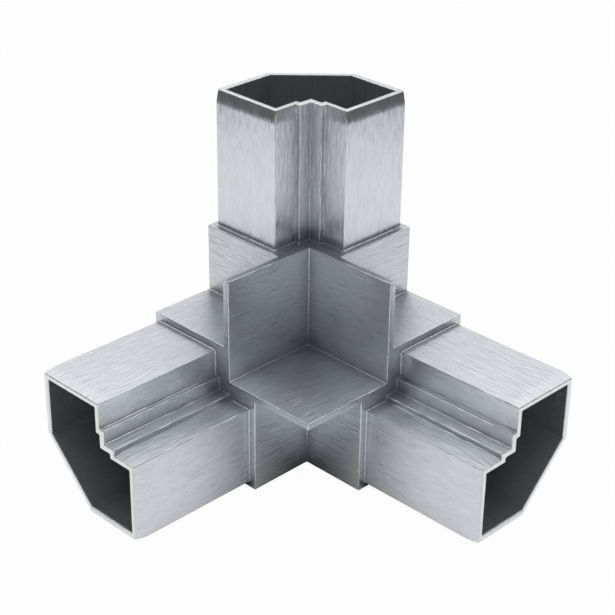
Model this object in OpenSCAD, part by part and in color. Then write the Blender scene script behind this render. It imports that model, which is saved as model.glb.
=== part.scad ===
// Three-way corner connector for a box frame of hollow aluminium profile.
// One casting: a hub of three collars at right angles, three fins that back the panels, and a hollow
// spigot on each collar that a length of profile slides over.
// The origin is the outer corner of the finished frame, where its three outer faces would meet.
// The three arms lie along +X, +Y and +Z, and the part stands on the flat under its X and Y collars.

/* [Frame profile] */
// Outside width of the square profile, and so of each collar
profile_w = 50; // [45:0.5:70]
// Wall of the profile that slides over a spigot
profile_wall = 2; // [1.5:0.1:3.5]
// Each leg of the 45 degree chamfer along the profile's outer corner
profile_chamfer = 22.5; // [12:0.5:28]
// Thickness of the panel that lies against the back of a fin, flush with the frame's outer face
panel_t = 35; // [30:0.5:40]
// Thickness of the fins
fin_t = 2.5; // [1.5:0.1:4]
// Length of a collar from the inner faces of its neighbours to its end, which the fins reach too
collar_l = 25; // [12:0.5:40]

/* [Spigots] */
// Length of a spigot beyond its collar
spigot_l = 50; // [20:1:90]
// Wall of a spigot
spigot_wall = 2.4; // [1.6:0.1:4]
// Clearance on each outer side between a spigot and the inside of the profile
fit_gap = 0.2; // [0.1:0.05:0.6]
// Clearance on each inner side, where the walls of the profile run out into its notch
inner_gap = 0.75; // [0.25:0.05:1]
// Clearance between the notch of a spigot and the inside of the profile's own notch
notch_gap = 4; // [2.5:0.25:6]
// How far the raised rib in the corner of the notch stands out of its walls
rib_rise = 1.75; // [0.5:0.25:2.25]
// Width of each half of that rib, from its inner corner to its edge
rib_w = 5; // [3.5:0.25:8]

/* [Lead-in] */
// Length of the taper at the end of a spigot
lead_l = 4; // [2:0.5:8]
// How far the taper takes each side back at the end
lead_depth = 0.5; // [0.2:0.05:0.8]
// Radius of the curve that the taper starts in
lead_blend = 20; // [4:1:30]

/* [Pockets] */
// Metal left between the floor of one pocket and the side of the next
web = 5; // [3:0.5:12]

/* [Hidden] */

// A cut runs past the surface it goes through by this much
past = 2;
// Straight facets in the curve of a lead-in
blend_steps = 4;

// Places along an arm, from the frame's outer corner
collar_end = profile_w + collar_l;
spigot_end = collar_end + spigot_l;

// Places across an arm, from the frame's outer faces
fin_front = panel_t + fin_t;
spigot_side = profile_wall + fit_gap;
spigot_far = profile_w - profile_wall - inner_gap;
notch_side = panel_t - notch_gap;
rib_side = notch_side + rib_rise;
rib_edge = rib_side + rib_w;

// The pockets stop where the next arm's pocket wall, plus the web, lies
pocket_floor = spigot_far - spigot_wall + web;

// The taper of the lead-in, and how much further down its curve starts
lead_angle = atan(lead_depth / lead_l);
blend_l = lead_blend * tan(lead_angle / 2);

// Takes what is drawn for the upright arm and lays it along X and along Y too
module on_each_arm() {
    rotate([90, 0, 90]) children();
    rotate([-90, -90, 0]) children();
    children();
}

// Section of a collar: the profile's outline, whose notch lies in the inner corner of the frame
module collar_section() {
    difference() {
        square(profile_w);
        translate([fin_front, fin_front]) square(profile_w);
    }
}

// Section of a spigot, with every wall moved inwards by `inward` for its pocket.
// Its notch is stepped: a rib stands out of the inner corner, and its edges face the notch's walls.
module spigot_section(inward = 0) {
    near = spigot_side + inward;
    far = spigot_far - inward;
    notch = notch_side - inward;
    rib = rib_side - inward;
    edge = rib_edge - inward;
    chamfer_foot = profile_chamfer + sqrt(2) * near - near;
    polygon([
        [chamfer_foot, near], [far, near], [far, notch],
        [edge, notch], [edge, rib], [rib, rib], [rib, edge], [notch, edge],
        [notch, far], [near, far], [near, chamfer_foot]
    ]);
}

// What a lead-in takes off one side of a spigot. It lies along +X for `width`, faces +Y,
// and has the end of the spigot at z = 0.
module lead_in_cut(width) {
    curve = [
        for (i = [0 : blend_steps])
        let (a = lead_angle * i / blend_steps)
        [lead_blend * (cos(a) - 1), lead_blend * sin(a) - lead_l - blend_l]
    ];
    rotate([90, 0, 90]) linear_extrude(width) polygon(concat(
        [[past, curve[0].y]], curve,
        [[-lead_depth - past * tan(lead_angle), past], [past, past]]
    ));
}

// The seven lead-ins of the upright spigot: one on each flat side, and one on each wall of the notch
module lead_in_cuts() {
    near = spigot_side;
    far = spigot_far;
    across = profile_w;
    chamfer_middle = (profile_chamfer + sqrt(2) * near) / 2;
    translate([0, 0, spigot_end]) {
        translate([across, near]) rotate(180) lead_in_cut(across);
        translate([near, 0]) rotate(90) lead_in_cut(across);
        translate([0, far]) lead_in_cut(across);
        translate([far, across]) rotate(-90) lead_in_cut(across);
        translate([chamfer_middle, chamfer_middle]) rotate(135) translate([-across / 2, 0])
            lead_in_cut(across);
        translate([rib_edge, notch_side]) lead_in_cut(far - rib_edge + past);
        translate([notch_side, far + past]) rotate(-90) lead_in_cut(far - rib_edge + past);
    }
}

// The upright collar, from the frame's outer corner to its end
module collar() {
    linear_extrude(collar_end) collar_section();
}

// The prism that the profile's chamfer takes off the upright collar, through the whole hub
module chamfer_cut() {
    translate([0, 0, -past]) linear_extrude(collar_end + 2 * past) polygon([
        [-past, -past], [profile_chamfer + past, -past], [-past, profile_chamfer + past]
    ]);
}

// The fin that is square to the upright arm: it closes the corner between the other two collars
module fin() {
    reach = collar_end - fin_front;
    translate([fin_front, fin_front, panel_t]) cube([reach, reach, fin_t]);
}

// The upright spigot, rooted in its collar
module spigot() {
    difference() {
        translate([0, 0, profile_w]) linear_extrude(spigot_end - profile_w) spigot_section();
        lead_in_cuts();
    }
}

// The pocket of the upright spigot, which goes down through the collar
module pocket() {
    translate([0, 0, pocket_floor]) linear_extrude(spigot_end - pocket_floor + past)
        spigot_section(inward = spigot_wall);
}

// The whole casting
module corner_connector() {
    color([0.80, 0.82, 0.84]) difference() {
        union() {
            difference() {
                union() {
                    on_each_arm() collar();
                    on_each_arm() fin();
                }
                on_each_arm() chamfer_cut();
            }
            on_each_arm() spigot();
        }
        on_each_arm() pocket();
    }
}

corner_connector();
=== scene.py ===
# %% [markdown] # A cast corner connector in brushed aluminium The object joins three lengths of
# hollow frame profile at the corner of a panel box. It is one casting: a hub with three collars,
# three thin square fins, and a hollow spigot on each collar. The shape comes ready made from the
# packed CAD model, in metres, with the outer corner of the finished frame at the origin and the
# three arms along X, Y and Z. What is left for this script is how the metal looks: its softened
# edges, its brushed faces, its sawn ends and its dark pockets, and the small photo studio that it
# stands in.

# %% Load the packed model
from math import cos, pi, radians, sin, sqrt

import bpy
from mathutils import Matrix, Vector

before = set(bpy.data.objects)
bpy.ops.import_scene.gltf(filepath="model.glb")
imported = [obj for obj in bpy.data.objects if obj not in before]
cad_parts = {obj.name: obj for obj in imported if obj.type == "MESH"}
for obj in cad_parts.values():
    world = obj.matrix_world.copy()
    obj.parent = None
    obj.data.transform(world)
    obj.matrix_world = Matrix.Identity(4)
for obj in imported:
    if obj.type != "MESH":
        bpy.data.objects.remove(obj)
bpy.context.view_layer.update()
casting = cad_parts["corner_connector"]

# %% [markdown]
# ## Sizes that the looks need
#
# A finish that follows the shape has to know where the shape is. These are the connector's own
# sizes, in millimetres. The places below them are worked out from them: how far the collars and
# the spigots reach from the corner, and how far in from the outer faces the walls of a spigot lie.
# Every finish takes its place from these values, so it never drifts away from the edge that it
# belongs to.

# %% Name the sizes and work out the places
MM_IN_METRE = 1000.0
COLLAR_W, COLLAR_L, SPIGOT_L = 50.0, 25.0, 50.0
PROFILE_WALL, FIT_GAP, INNER_GAP = 2.0, 0.2, 0.75
PROFILE_CHAMFER = 22.5
SPIGOT_WALL = 2.4
NOTCH_SIDE, RIB_RISE, RIB_W = 31.0, 1.75, 5.0
FIN_FRONT = 37.5
WEB = 5.0

COLLAR_END = COLLAR_W + COLLAR_L
SPIGOT_END = COLLAR_END + SPIGOT_L
SPIGOT_SIDE = PROFILE_WALL + FIT_GAP
SPIGOT_FAR = COLLAR_W - PROFILE_WALL - INNER_GAP
CHAMFER_SUM = PROFILE_CHAMFER + sqrt(2) * SPIGOT_SIDE
RIB_SIDE = NOTCH_SIDE + RIB_RISE
RIB_EDGE = RIB_SIDE + RIB_W
POCKET_FLOOR = SPIGOT_FAR - SPIGOT_WALL + WEB
print("a spigot is", round(SPIGOT_FAR - SPIGOT_SIDE, 2), "mm across and", SPIGOT_L, "mm long")

# %% [markdown]
# ## Softened edges
#
# No cast edge is perfectly sharp. Each one has a tiny rounding that catches the light as a thin
# bright line, and each inside corner has a tiny fillet that does the same. They are what makes the
# part look like metal and not like paper.
#
# The rounding could be modelled in CAD, but it is far smaller than any size that matters there.
# A stack of modifiers makes it here and leaves the CAD mesh as it is. Weld joins the corners that
# the file format split. The bevel rounds every edge that turns by more than SHARP_ANGLE, so it
# passes over the edges that only cut a flat face into triangles, and leaves the shallow curve of
# the lead-ins alone. Weighted normals then keep the large faces flat, and let the light roll only
# over the rounding.

# %% Round the edges of the casting
SPLIT_GAP = 0.001
EDGE_RADIUS = 0.38
EDGE_STEPS = 3
SHARP_ANGLE = radians(20)
LARGE_FACES_FIRST = 100

weld = casting.modifiers.new("join split corners", "WELD")
weld.merge_threshold = SPLIT_GAP / MM_IN_METRE
rounding = casting.modifiers.new("softened edges", "BEVEL")
rounding.width = EDGE_RADIUS / MM_IN_METRE
rounding.segments = EDGE_STEPS
rounding.limit_method = "ANGLE"
rounding.angle_limit = SHARP_ANGLE
rounding.miter_outer = "MITER_ARC"
rounding.use_clamp_overlap = False
flat_faces = casting.modifiers.new("flat faces stay flat", "WEIGHTED_NORMAL")
flat_faces.keep_sharp = False
flat_faces.weight = LARGE_FACES_FIRST

seen = casting.evaluated_get(bpy.context.evaluated_depsgraph_get())
rounded = seen.to_mesh()
open_edges = len(rounded.edges) * 2 - sum(len(p.vertices) for p in rounded.polygons)
print("rounded casting:", len(rounded.vertices), "vertices,", len(rounded.polygons),
      "faces; edges without two faces:", open_edges)
seen.to_mesh_clear()

# %% [markdown]
# ## A short way to wire nodes
#
# A material is a network of small steps. Wiring it takes many lines that all look the same, so
# this small bench does the wiring. It adds a node, sets its values, links its inputs and hands
# back its first output, so a step of arithmetic reads as one line. It also makes node groups with
# named inputs and outputs, for the effects that get values of their own where they are placed.

# %% A bench for node trees
COLUMN_STEP, ROW_STEP, ROWS = 200, 40, 5


class Bench:
    """Adds nodes to one tree, placed from left to right in the order in which they are made."""

    def __init__(self, tree):
        self.tree = tree
        self.column = 0

    def feed(self, socket, value):
        """Links a socket to another one, or sets its value."""
        if isinstance(value, bpy.types.NodeSocket):
            self.tree.links.new(value, socket)
        else:
            socket.default_value = value

    def node(self, kind, inputs=None, **settings):
        made = self.tree.nodes.new(kind)
        made.location = (COLUMN_STEP * self.column, -ROW_STEP * (self.column % ROWS))
        self.column += 1
        for name, value in settings.items():
            setattr(made, name, value)
        for name, value in (inputs or {}).items():
            self.feed(made.inputs[name], value)
        return made

    def group(self, tree, **inputs):
        """Places a node group, with values or links for its named inputs."""
        placed = self.node("ShaderNodeGroup", node_tree=tree)
        for name, value in inputs.items():
            self.feed(placed.inputs[name.replace("_", " ")], value)
        return placed.outputs

    def math(self, operation, first, second=0.0, third=0.0):
        inputs = {0: first, 1: second, 2: third}
        return self.node("ShaderNodeMath", inputs, operation=operation).outputs[0]

    def vector(self, operation, first, second):
        """Vector arithmetic. For SCALE the second value is a plain number."""
        inputs = {0: first, ("Scale" if operation == "SCALE" else 1): second}
        return self.node("ShaderNodeVectorMath", inputs, operation=operation).outputs[0]

    def three(self, x, y, z):
        return self.node("ShaderNodeCombineXYZ", {"X": x, "Y": y, "Z": z}).outputs[0]

    def step(self, value, start, end):
        """0 below start, 1 above end, and a smooth rise between them."""
        inputs = {"Value": value, "From Min": start, "From Max": end}
        return self.node("ShaderNodeMapRange", inputs, interpolation_type="SMOOTHSTEP").outputs["Result"]

    def blend(self, factor, low, high):
        inputs = {"Factor": factor, "A": low, "B": high}
        return self.node("ShaderNodeMix", inputs).outputs["Result"]

    def blend_colour(self, factor, low, high):
        mixer = self.node("ShaderNodeMix", {"Factor": factor}, data_type="RGBA")
        for name, value in (("A", low), ("B", high)):
            socket = next(s for s in mixer.inputs if s.name == name and s.type == "RGBA")
            self.feed(socket, (*value, 1.0) if isinstance(value, tuple) else value)
        return next(s for s in mixer.outputs if s.type == "RGBA")


print("the bench can make:", ", ".join(name for name in vars(Bench) if not name.startswith("_")))

# %% Helpers for groups and materials
def new_group(title, inputs, outputs):
    """A node group: inputs as (name, kind, value), outputs as (name, kind)."""
    tree = bpy.data.node_groups.new(title, "ShaderNodeTree")
    for name, kind, value in inputs:
        socket = tree.interface.new_socket(name=name, in_out="INPUT", socket_type="NodeSocket" + kind)
        if value is not None:
            socket.default_value = value
    for name, kind in outputs:
        tree.interface.new_socket(name=name, in_out="OUTPUT", socket_type="NodeSocket" + kind)
    bench = Bench(tree)
    return bench, bench.node("NodeGroupInput").outputs


def close_group(bench, **results):
    """Links the results to the group's outputs, by name."""
    bench.node("NodeGroupOutput", results)
    print("group", bench.tree.name, "has", len(bench.tree.nodes), "nodes")
    return bench.tree


def new_material(title):
    """An empty node material and its bench."""
    material = bpy.data.materials.new(title)
    material.use_nodes = True
    material.node_tree.nodes.clear()
    return material, Bench(material.node_tree)


# %% [markdown]
# ## Group 1: where on the arm
#
# Each arm has the same section, so one group can read it for all three. It takes a point as two
# distances across the arm and one along it, and answers with two masks: in the pocket, and on the
# sawn end. A painted mask would need unwrapping, and it would go soft at the edges. A mask worked
# out from the position is sharp at any distance.
#
# The pocket is the section moved inwards by one wall, so the border between inside and outside
# runs through the middle of that wall. It stops just short of the sawn end, where the rounding of
# the edges starts.

# %% Build the group that reads an arm's section
MARGIN = 1.0
POCKET_STOP = 0.35
SAWN_DEPTH = 0.06


def section_group():
    bench, given = new_group(
        "arm section",
        [("Across 1", "Float", 0.0), ("Across 2", "Float", 0.0), ("Along", "Float", 0.0)],
        [("Pocket", "Float"), ("End", "Float")],
    )

    def above(value, limit):
        return bench.math("GREATER_THAN", value, limit)

    def below(value, limit):
        return bench.math("LESS_THAN", value, limit)

    def all_of(first, *others):
        for other in others:
            first = bench.math("MULTIPLY", first, other)
        return first

    half_wall = SPIGOT_WALL / 2
    along = given["Along"]
    low = bench.math("MINIMUM", given["Across 1"], given["Across 2"])
    high = bench.math("MAXIMUM", given["Across 1"], given["Across 2"])
    total = bench.math("ADD", given["Across 1"], given["Across 2"])
    off_the_sides = all_of(above(low, SPIGOT_SIDE + half_wall), below(high, SPIGOT_FAR - half_wall))
    off_the_chamfer = above(total, CHAMFER_SUM + sqrt(2) * half_wall)
    short_of_notch = below(low, NOTCH_SIDE - half_wall)
    short_of_rib = all_of(below(low, RIB_SIDE - half_wall), below(high, RIB_EDGE - half_wall))
    off_the_notch = bench.math("MAXIMUM", short_of_notch, short_of_rib)
    in_length = all_of(above(along, POCKET_FLOOR - MARGIN), below(along, SPIGOT_END - POCKET_STOP))
    pocket = all_of(off_the_sides, off_the_chamfer, off_the_notch, in_length)
    return close_group(bench, Pocket=pocket, End=above(along, SPIGOT_END - SAWN_DEPTH))


arm_section = section_group()

# %% [markdown]
# ## Group 2: brushed lines
#
# Brushing drags fine grit along the metal, so it leaves lines that are long in one direction and
# thin across it. A noise texture gives the same when it is stretched: its pattern runs slowly
# along the brushing and fast across it. The direction is a vector with a 1 on the axis that the
# brush followed. Fine and Broad say how many lines lie on a millimetre, and Length how long a line
# is, in millimetres.
#
# One noise alone looks like wood. Two together look like metal: fine lines that the eye just sees,
# and broader strokes where the belt pressed harder. Each is moved by a seed of its own, so the
# lines and the strokes don't fall on each other.

# %% Build the group that draws brushed lines
LINES_SEED, STROKES_SEED = 3.4, 17.6
SEED_SPREAD = Vector((1.0, 1.3, 1.6))


def brushed_group():
    bench, given = new_group(
        "brushed lines",
        [("Position", "Vector", None), ("Direction", "Vector", None), ("Fine", "Float", 2.6),
         ("Broad", "Float", 0.8), ("Length", "Float", 7.5)],
        [("Lines", "Float"), ("Strokes", "Float")],
    )
    slow = bench.math("DIVIDE", 1.0, given["Length"])

    def stretched(fast, seed):
        """Noise that runs fast on every axis but the one that the brush followed."""
        change = bench.vector("SCALE", given["Direction"], bench.math("SUBTRACT", slow, fast))
        rate = bench.vector("ADD", change, bench.three(fast, fast, fast))
        place = bench.vector("MULTIPLY", given["Position"], rate)
        moved = bench.vector("ADD", place, tuple(seed * SEED_SPREAD))
        inputs = {"Vector": moved, "Scale": 1.0, "Detail": 1.0, "Roughness": 0.6}
        return bench.node("ShaderNodeTexNoise", inputs).outputs["Fac"]

    lines = stretched(given["Fine"], LINES_SEED)
    strokes = stretched(given["Broad"], STROKES_SEED)
    return close_group(bench, Lines=lines, Strokes=strokes)


brushed_lines = brushed_group()

# %% [markdown]
# ## Group 3: edge highlight and polish
#
# Handling polishes the corners first, so an edge is a little smoother than the faces beside it,
# and it gets a painted highlight: a brighter colour. The Bevel node finds edges: it returns the
# normal that the surface would have with a rounding of a chosen size. Where that differs from the
# real normal, there is an edge or a crease.

# %% Build the group that finds edges
def edge_group():
    bench, given = new_group(
        "edge highlight and polish",
        [("Width", "Float", 0.5), ("Sharpness", "Float", 3.0)],
        [("Mask", "Float")],
    )
    width = bench.math("DIVIDE", given["Width"], MM_IN_METRE)
    rounded_normal = bench.node("ShaderNodeBevel", {"Radius": width}, samples=4).outputs[0]
    true_normal = bench.node("ShaderNodeNewGeometry").outputs["True Normal"]
    same = bench.node("ShaderNodeVectorMath", {0: rounded_normal, 1: true_normal},
                      operation="DOT_PRODUCT").outputs["Value"]
    turned = bench.math("SUBTRACT", 1.0, same)
    mask = bench.node("ShaderNodeMath", {0: turned, 1: given["Sharpness"]}, operation="MULTIPLY",
                      use_clamp=True).outputs[0]
    return close_group(bench, Mask=mask)


edge_highlight_and_polish = edge_group()

# %% [markdown]
# ## Group 4: painted shade in inner corners
#
# Shade falls into an inner corner, so this group paints it into the colour: a little darker than
# the faces, and darkest right in the corner. The Ambient Occlusion node finds these places. It
# tells how much of the space above the point is open within a chosen reach: all of it on a flat
# face, half of it where two faces meet, and less where three do.

# %% Build the group that finds inner corners
OPEN_IN_CORNER, OPEN_ON_FACE = 0.35, 0.95


def corner_group():
    bench, given = new_group("inner corners", [("Reach", "Float", 9.0)], [("Mask", "Float")])
    reach = bench.math("DIVIDE", given["Reach"], MM_IN_METRE)
    space = bench.node("ShaderNodeAmbientOcclusion", {"Distance": reach}, samples=8,
                       only_local=True).outputs["AO"]
    reached = bench.step(space, OPEN_IN_CORNER, OPEN_ON_FACE)
    return close_group(bench, Mask=bench.math("SUBTRACT", 1.0, reached))


painted_corner_shade = corner_group()

# %% [markdown]
# ## The brushed aluminium
#
# One material covers the whole casting, because it is one piece of metal. It asks the groups
# where the point is, and then chooses.
#
# - The spigots are brushed along their own length.
# - The collars and fins are brushed level, each face along the arm that it belongs to.
# - The ends were sawn, so they are the brightest.
# - The pockets are as they came out of the mould: duller and never touched by a brush, and darker,
#   partly for the cast skin and partly as painted shade.
#
# The first masks come from the position and from the way that the face looks. A chamfer looks half
# along one axis and half along another, so FACING is set just above that half.

# %% Find the place on the casting
METAL = (0.825, 0.857, 0.905)
SAWN = (0.93, 0.945, 0.96)
CAST_SKIN_AND_SHADE = (0.40, 0.42, 0.455)
FACING = 0.7072
SQUARE_ON = 0.98
ROOT_CLEAR = 0.4

aluminium, bench = new_material("brushed aluminium")
place = bench.node("ShaderNodeTexCoord").outputs["Object"]
millimetres = bench.vector("SCALE", place, MM_IN_METRE)
at = bench.node("ShaderNodeSeparateXYZ", {0: millimetres}).outputs
normal = bench.node("ShaderNodeNewGeometry").outputs["True Normal"]
faces = bench.node("ShaderNodeSeparateXYZ", {0: normal}).outputs


def over(value, limit):
    return bench.math("GREATER_THAN", value, limit)


def both(first, second):
    return bench.math("MULTIPLY", first, second)


def either(first, *others):
    for other in others:
        first = bench.math("MAXIMUM", first, other)
    return first


def neither(*masks):
    return bench.math("SUBTRACT", 1.0, either(*masks))


square = {axis: bench.math("ABSOLUTE", faces[axis]) for axis in "XYZ"}
faces_along = {axis: over(square[axis], FACING) for axis in "XYZ"}
on_arm = {axis: over(at[axis], COLLAR_END + ROOT_CLEAR) for axis in "XYZ"}
on_hub = neither(*on_arm.values())
side_of = {axis: both(on_arm[axis], neither(faces_along[axis])) for axis in "XYZ"}
end_of = {axis: both(on_arm[axis], faces_along[axis]) for axis in "XYZ"}

pockets, ends = [], []
for along, across_1, across_2 in ("XYZ", "YZX", "ZXY"):
    section = bench.group(arm_section, Across_1=at[across_1], Across_2=at[across_2], Along=at[along])
    pockets.append(section["Pocket"])
    ends.append(section["End"])
in_pocket = either(*pockets)
on_end = either(*ends)
print("the material has", len(bench.tree.nodes), "nodes once it knows the place")

# %% [markdown]
# The direction of the brushing follows from these masks. On the hub a face that looks along X is
# brushed along Y, and so is the top of the Y arm's collar. All other faces of the hub are brushed
# along X.
#
# Brushed metal also smears its highlight across the lines, because each line is a tiny mirror that
# is curved only that way. The shader calls this anisotropy. STRETCH says how strong it is, the
# tangent gives the direction of the lines, and a quarter turn lays the smear across them. The
# roundings are too thin for lines, so they keep a plain highlight. A mask tells them from the flat
# faces: a face is flat when it looks squarely along an axis or lies on a chamfer.

# %% Choose the direction of the brushing
STRETCH = 0.88
QUARTER_TURN = 0.25

off_the_fin = over(bench.math("ABSOLUTE", bench.math("SUBTRACT", at["Z"], FIN_FRONT)), MARGIN)
top_of_y_arm = both(both(faces_along["Z"], off_the_fin), over(at["Y"], at["X"]))
hub_along_y = both(on_hub, either(faces_along["X"], top_of_y_arm))
hub_along_x = bench.math("SUBTRACT", on_hub, hub_along_y)
direction = bench.three(
    either(side_of["X"], end_of["Z"], hub_along_x),
    either(side_of["Y"], hub_along_y),
    either(side_of["Z"], end_of["X"], end_of["Y"]),
)

sums = [bench.math("ADD", at[one], at[other]) for one, other in ("XY", "YZ", "ZX")]
nearest_chamfer = bench.math("MINIMUM", sums[0], bench.math("MINIMUM", sums[1], sums[2]))
on_chamfer = bench.math("LESS_THAN", nearest_chamfer, CHAMFER_SUM + MARGIN)
on_flat = either(over(either(*square.values()), SQUARE_ON), on_chamfer)
stretch = bench.math("MULTIPLY", on_flat, STRETCH)
print("the material has", len(bench.tree.nodes), "nodes once it knows the direction")

# %% [markdown]
# The masks now mix the colours. Colour moves only a little with the lines, because bare metal is
# one colour. The tone is what a face keeps at its darkest, plus a share for the fine lines and one
# for the strokes, and painted shade takes a part of it in the inner corners. The pockets get a
# darker colour, partly for the cast skin and partly as painted shade. The edges and creases go most
# of the way to the colour of freshly cut metal, as a painted highlight.

# %% Mix the colours
DARK_TONE, LINES_TONE, STROKES_TONE = 0.72, 0.22, 0.26
CORNER_REACH, CORNER_SHADE = 9.0, 0.33
EDGE_WIDTH, EDGE_SHARPNESS, PAINTED_EDGE_HIGHLIGHT = 0.45, 3.0, 0.6

brush = bench.group(brushed_lines, Position=millimetres, Direction=direction)
edges = bench.group(edge_highlight_and_polish, Width=EDGE_WIDTH, Sharpness=EDGE_SHARPNESS)
painted_shade = bench.group(painted_corner_shade, Reach=CORNER_REACH)

tone = bench.math("MULTIPLY_ADD", brush["Lines"], LINES_TONE, DARK_TONE)
tone = bench.math("MULTIPLY_ADD", brush["Strokes"], STROKES_TONE, tone)
# Painted shade: the tone drops in the inner corners, where shade falls.
tone = bench.math("MULTIPLY", tone, bench.math("MULTIPLY_ADD", painted_shade["Mask"], -CORNER_SHADE, 1.0))
metal = bench.blend_colour(on_end, METAL, SAWN)
# Partly cast skin, partly painted shade: the pockets take a darker colour.
metal = bench.blend_colour(in_pocket, metal, CAST_SKIN_AND_SHADE)
toned = bench.vector("MULTIPLY", metal, bench.three(tone, tone, tone))
# Painted highlight: edges and creases are lightened towards the sawn colour.
colour = bench.blend_colour(bench.math("MULTIPLY", edges["Mask"], PAINTED_EDGE_HIGHLIGHT), toned, SAWN)
print("the material has", len(bench.tree.nodes), "nodes once it has its colour")

# %% [markdown]
# Roughness says how far a highlight spreads. The strokes are a little rougher than the lines
# between them, the worn roundings are smoother, and the pockets are the roughest.
#
# The bare share is how much of the surface acts as metal. It isn't all of it: the valleys between
# the lines scatter some light like a matt surface, which is what lifts the faces that mirror only
# the dark room. The roundings and the skin in the pockets scatter more.

# %% Mix the roughness and the bare share
BRUSHED_ROUGH, STROKES_ROUGH = 0.25, 0.08
ROUNDING_ROUGH, CAST_ROUGH, EDGE_POLISH = 0.16, 0.55, 0.05
FACE_BARE, ROUNDING_BARE, POCKET_LOSS = 0.88, 0.6, 0.5

rough = bench.math("MULTIPLY_ADD", brush["Strokes"], STROKES_ROUGH, BRUSHED_ROUGH)
rough = bench.blend(on_flat, ROUNDING_ROUGH, rough)
rough = bench.blend(in_pocket, rough, CAST_ROUGH)
rough = bench.math("MULTIPLY_ADD", edges["Mask"], -EDGE_POLISH, rough)
bare = bench.math("MULTIPLY_ADD", in_pocket, -POCKET_LOSS, 1.0)
bare = bench.math("MULTIPLY", bare, bench.blend(on_flat, ROUNDING_BARE, FACE_BARE))
print("the material has", len(bench.tree.nodes), "nodes once it has its finish")

# %% [markdown]
# Most of what the eye reads as brushing is the bump, which turns the reflections a little from one
# line to the next. It could be real geometry, but there are thousands of lines, and they are only
# about a tenth of a millimetre deep. The pockets get a grain in place of lines.

# %% Raise the lines and close the material
STROKES_RISE = 1.2
BUMP_DEPTH = 0.13
GRAIN = {"Vector": millimetres, "Scale": 1.6, "Detail": 4.0}

grain = bench.node("ShaderNodeTexNoise", GRAIN).outputs["Fac"]
height = bench.math("MULTIPLY_ADD", brush["Strokes"], STROKES_RISE, brush["Lines"])
height = bench.blend(in_pocket, height, grain)
bump = bench.node("ShaderNodeBump", {"Height": height, "Strength": 1.0,
                                     "Distance": BUMP_DEPTH / MM_IN_METRE}).outputs[0]

metal_shader = bench.node("ShaderNodeBsdfPrincipled", {
    "Base Color": colour, "Metallic": bare, "Roughness": rough, "Normal": bump,
    "Anisotropic": stretch, "Anisotropic Rotation": QUARTER_TURN, "Tangent": direction,
}).outputs[0]
bench.node("ShaderNodeOutputMaterial", {"Surface": metal_shader})
casting.data.materials.clear()
casting.data.materials.append(aluminium)
print("the finished material has", len(bench.tree.nodes), "nodes")

# %% [markdown]
# ## The table and the backdrop
#
# The photo shows the part on pure white. In a studio that is a white sweep: a table top that
# curves up behind the object. The sweep here has two parts, a wide floor and a tall curved
# backdrop behind it.
#
# A ray from the camera gets nearly all of its light from a plain white of strength 1, and only a
# small share from a matt white that takes the lamps' light and the part's shadow. A ray that comes
# off the metal, or through glass, gets a plain white too, but weaker, and weaker still from the
# backdrop than from the floor. That sets how bright each face of the part is without more light.
# Close to the part, the floor goes dark in the metal, as a real table does in the part's shadow.
#
# From below, the sweep is clear, so that the underside can be looked at.

# %% Make the white sweep
CAMERA_WHITE = 0.97
FLOOR_METAL_WHITE = 0.92
BACK_METAL_WHITE = 0.53
SHADE_REACH = 0.05
SHADE_DARK, SHADE_CLEAR = 0.18, 0.72
WHITE = (1.0, 1.0, 1.0, 1.0)
FLOOR_WHITE = (0.98, 0.98, 0.98, 1.0)


def sweep_material(title, metal_white):
    material, bench = new_material(title)
    rays = bench.node("ShaderNodeLightPath").outputs
    mirrored = bench.math("MAXIMUM", rays["Is Glossy Ray"], rays["Is Transmission Ray"])
    pictured = bench.math("MULTIPLY", rays["Is Camera Ray"], CAMERA_WHITE)
    share = bench.math("MAXIMUM", pictured, mirrored)
    open_sky = bench.node("ShaderNodeAmbientOcclusion", {"Distance": SHADE_REACH}, samples=8).outputs["AO"]
    shade = bench.step(open_sky, SHADE_DARK, SHADE_CLEAR)
    strength = bench.blend(mirrored, 1.0, bench.math("MULTIPLY", shade, metal_white))
    matt = bench.node("ShaderNodeBsdfDiffuse", {"Color": FLOOR_WHITE}).outputs[0]
    white = bench.node("ShaderNodeEmission", {"Color": WHITE, "Strength": strength}).outputs[0]
    surface = bench.node("ShaderNodeMixShader", {0: share, 1: matt, 2: white}).outputs[0]
    under = bench.node("ShaderNodeNewGeometry").outputs["Backfacing"]
    clear = bench.node("ShaderNodeBsdfTransparent").outputs[0]
    surface = bench.node("ShaderNodeMixShader", {0: under, 1: surface, 2: clear}).outputs[0]
    bench.node("ShaderNodeOutputMaterial", {"Surface": surface})
    return material


floor_white = sweep_material("floor white", FLOOR_METAL_WHITE)
back_white = sweep_material("backdrop white", BACK_METAL_WHITE)
print("the floor shows as", FLOOR_METAL_WHITE, "in the metal, the backdrop as", BACK_METAL_WHITE)

# %% Build the floor and the backdrop
FLOOR_HALF = 8.0
BACK_DISTANCE = 1.3
BACK_HEIGHT = 0.87
BACK_MIDDLE, BACK_HALF_ANGLE = 225, 40
BACK_STEPS = 16


def stage_mesh(title, corners, quads, material):
    mesh = bpy.data.meshes.new(title)
    mesh.from_pydata(corners, [], quads)
    mesh.materials.append(material)
    thing = bpy.data.objects.new(title, mesh)
    bpy.context.scene.collection.objects.link(thing)
    return thing


floor_corners = [(-FLOOR_HALF, -FLOOR_HALF, 0), (FLOOR_HALF, -FLOOR_HALF, 0),
                 (FLOOR_HALF, FLOOR_HALF, 0), (-FLOOR_HALF, FLOOR_HALF, 0)]
stage_mesh("floor", floor_corners, [(0, 1, 2, 3)], floor_white)

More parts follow.
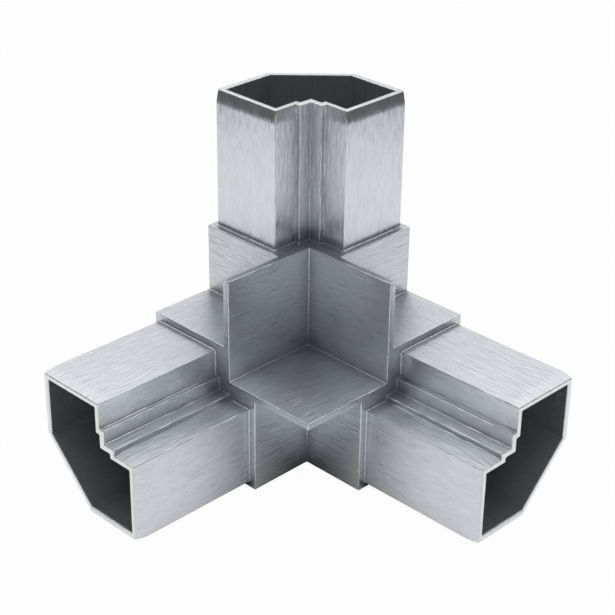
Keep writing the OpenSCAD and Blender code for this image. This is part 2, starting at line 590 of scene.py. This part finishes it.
back_corners, back_quads = [], []
for i in range(BACK_STEPS + 1):
    turn = radians(BACK_MIDDLE - BACK_HALF_ANGLE + 2 * BACK_HALF_ANGLE * i / BACK_STEPS)
    x, y = BACK_DISTANCE * cos(turn), BACK_DISTANCE * sin(turn)
    back_corners += [(x, y, 0.0), (x, y, BACK_HEIGHT)]
    if i:
        back_quads.append((2 * i - 2, 2 * i - 1, 2 * i + 1, 2 * i))
stage_mesh("backdrop", back_corners, back_quads, back_white)
print("floor", 2 * FLOOR_HALF, "m wide; backdrop", BACK_DISTANCE, "m behind and", BACK_HEIGHT, "m tall")

# %% [markdown]
# ## The light
#
# Polished metal has no look of its own: it shows the room. A room that is white all round would
# make the part flat, so the room is nearly dark, and only the sweep and the softboxes are bright.
# A low dark card stands at each side of the part, and a grey one lies on the floor in front of it.
# Photographers use such cards to give metal its dark edges. Here they darken what the steps and
# the inner corners show.
#
# The cards are seen in the metal alone: the camera looks through them, and they throw no shadow,
# so they never hide the part from another side.

# %% Darken the room and set up the cards
ROOM_GREY = 0.08
CARD_GREY = 0.12
CARD_DISTANCE = 0.34
CARD_HEIGHT = 0.13
CARD_HALF = 0.45
FRONT_GREY = 0.34
FRONT_NEAR, FRONT_FAR, FRONT_LIFT = 0.13, 0.50, 0.001

world = bpy.data.worlds.new("grey room")
bpy.context.scene.world = world
world.use_nodes = True
world.node_tree.nodes.clear()
bench = Bench(world.node_tree)
room = bench.node("ShaderNodeBackground", {"Color": WHITE, "Strength": ROOM_GREY}).outputs[0]
bench.node("ShaderNodeOutputWorld", {"Surface": room})


def card(title, corners, tone):
    material, bench = new_material(title)
    surface = bench.node("ShaderNodeBsdfDiffuse", {"Color": (tone, tone, tone, 1.0)}).outputs[0]
    bench.node("ShaderNodeOutputMaterial", {"Surface": surface})
    thing = stage_mesh(title, corners, [(0, 1, 2, 3)], material)
    thing.visible_camera = False
    thing.visible_diffuse = False
    thing.visible_shadow = False
    print(title, "has a grey of", tone)


for title, side in (("card_left", 1), ("card_right", -1)):
    out = Vector((side, -side, 0)).normalized() * CARD_DISTANCE
    run = Vector((1, 1, 0)).normalized() * CARD_HALF
    up = Vector((0, 0, CARD_HEIGHT))
    card(title, [out - run, out + run, out + run + up, out - run + up], CARD_GREY)
near, far, lift = FRONT_NEAR, FRONT_FAR, FRONT_LIFT
card("card_front", [(near, near, lift), (far, near, lift), (far, far, lift), (near, far, lift)], FRONT_GREY)

# %% [markdown]
# Two softboxes light the part. The large one hangs above and a little behind it, where the faces
# that look up mirror it from the camera's side. The small one is weak. It stands high in front,
# above the camera, and fills the faces that look away from the first.

# %% Hang the softboxes
ABOVE = {"place": (-0.5, -0.5, 1.45), "aim": (0.0, 0.0, 0.0), "width": 4.5, "depth": 2.6, "power": 41.5}
FILL = {"place": (1.0, 1.0, 1.8), "aim": (0.04, 0.04, 0.04), "width": 1.6, "depth": 1.2, "power": 1.7}


def softbox(title, place, aim, width, depth, power):
    lamp = bpy.data.lights.new(title, "AREA")
    lamp.shape = "RECTANGLE"
    lamp.size, lamp.size_y, lamp.energy = width, depth, power
    thing = bpy.data.objects.new(title, lamp)
    thing.location = place
    thing.rotation_euler = (Vector(aim) - Vector(place)).to_track_quat("-Z", "Y").to_euler()
    bpy.context.scene.collection.objects.link(thing)
    print(title, "shines with", round(power / (width * depth) / pi, 3), "of plain white")


softbox("softbox above", **ABOVE)
softbox("fill from the front", **FILL)

# %% [markdown]
# ## The camera
#
# The camera stands where the photographer stood. Its place, aim, tilt and lens were worked out
# from about 110 corner points of the part, and then once more from about 60 of its edges, so that
# the model falls on the picture to within a pixel. The lens is long, so the three arms hardly
# taper.

# %% Set the camera
CAMERA_PLACE = Vector((0.39507, 0.38918, 0.31825))
CAMERA_AIM = Vector((0.04134, 0.04081, 0.05476))
CAMERA_TILT = radians(0.752)
LENS = 96.1
SENSOR = 36.0
CLIP_NEAR, CLIP_FAR = 0.05, 50.0

lens = bpy.data.cameras.new("camera")
lens.lens, lens.sensor_width = LENS, SENSOR
lens.clip_start, lens.clip_end = CLIP_NEAR, CLIP_FAR
camera = bpy.data.objects.new("camera", lens)
look = (CAMERA_AIM - CAMERA_PLACE).to_track_quat("-Z", "Y").to_matrix()
tilted = look @ Matrix.Rotation(CAMERA_TILT, 3, "Z")
camera.matrix_world = Matrix.Translation(CAMERA_PLACE) @ tilted.to_4x4()
bpy.context.scene.collection.objects.link(camera)
bpy.context.scene.camera = camera
bpy.context.scene.view_settings.view_transform = "Standard"
print("camera", round((CAMERA_AIM - CAMERA_PLACE).length, 3), "m from its aim")

# %% [markdown] ## The end
